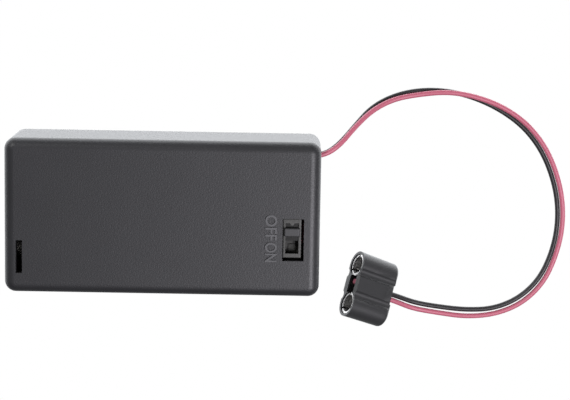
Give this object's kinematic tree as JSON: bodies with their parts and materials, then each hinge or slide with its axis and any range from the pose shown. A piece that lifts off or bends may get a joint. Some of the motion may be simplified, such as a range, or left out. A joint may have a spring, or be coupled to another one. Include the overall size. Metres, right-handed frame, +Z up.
{
  "type": "battery holder",
  "caption": "Closed AA battery holder with a slide switch, a sliding cover, and a pair of leads ending in a split-socket plug.",
  "frame": {"origin": "centre of the case's underside, the face of the sliding cover", "axes": "+X along the cells towards the switch end, +Y across the case towards the lead hole, +Z up to the face with the switch"},
  "size_m": [0.1255, 0.054, 0.019],
  "materials": {
    "case_plastic": "fine spark-eroded texture",
    "plated_steel": "nickel plated",
    "spring_steel": "nickel plated",
    "switch_frame": "dull plated sheet",
    "switch_base": "laminate",
    "knob_plastic": "satin",
    "plated_brass": "nickel plated",
    "solder": "smooth",
    "red_insulation": "satin",
    "black_insulation": "satin",
    "plug_plastic": "satin"
  },
  "bodies": {
    "case": {"case_tray": "case_plastic", "bridge_plate": "plated_steel", "bridge_spring": "spring_steel", "positive_plate": "plated_steel", "negative_plate": "plated_steel", "negative_spring": "spring_steel", "switch_shell": "switch_frame", "switch_base": "switch_base", "switch_pin_off": "plated_brass", "switch_pin_common": "plated_brass", "switch_pin_on": "plated_brass", "link_wire": "red_insulation", "solder_link": "solder", "solder_common": "solder", "solder_red": "solder", "solder_black": "solder", "wire_red": "red_insulation", "wire_black": "black_insulation", "plug_shell": "plug_plastic", "socket_red": "plated_brass", "socket_black": "plated_brass", "rivet_red": "plated_brass", "rivet_black": "plated_brass", "solder_plug_red": "solder", "solder_plug_black": "solder"},
    "cover": {"battery_cover": "case_plastic"},
    "slider": {"switch_knob": "knob_plastic", "switch_contact": "plated_brass"}
  },
  "joints": [
    {"name": "cover_slide", "type": "slide", "parent": "case", "child": "cover", "axis": [-1, 0, 0], "range_m": [0, 0.07]},
    {"name": "switch_slide", "type": "slide", "parent": "case", "child": "slider", "axis": [0, -1, 0], "range_m": [0, 0.0028]}
  ]
}
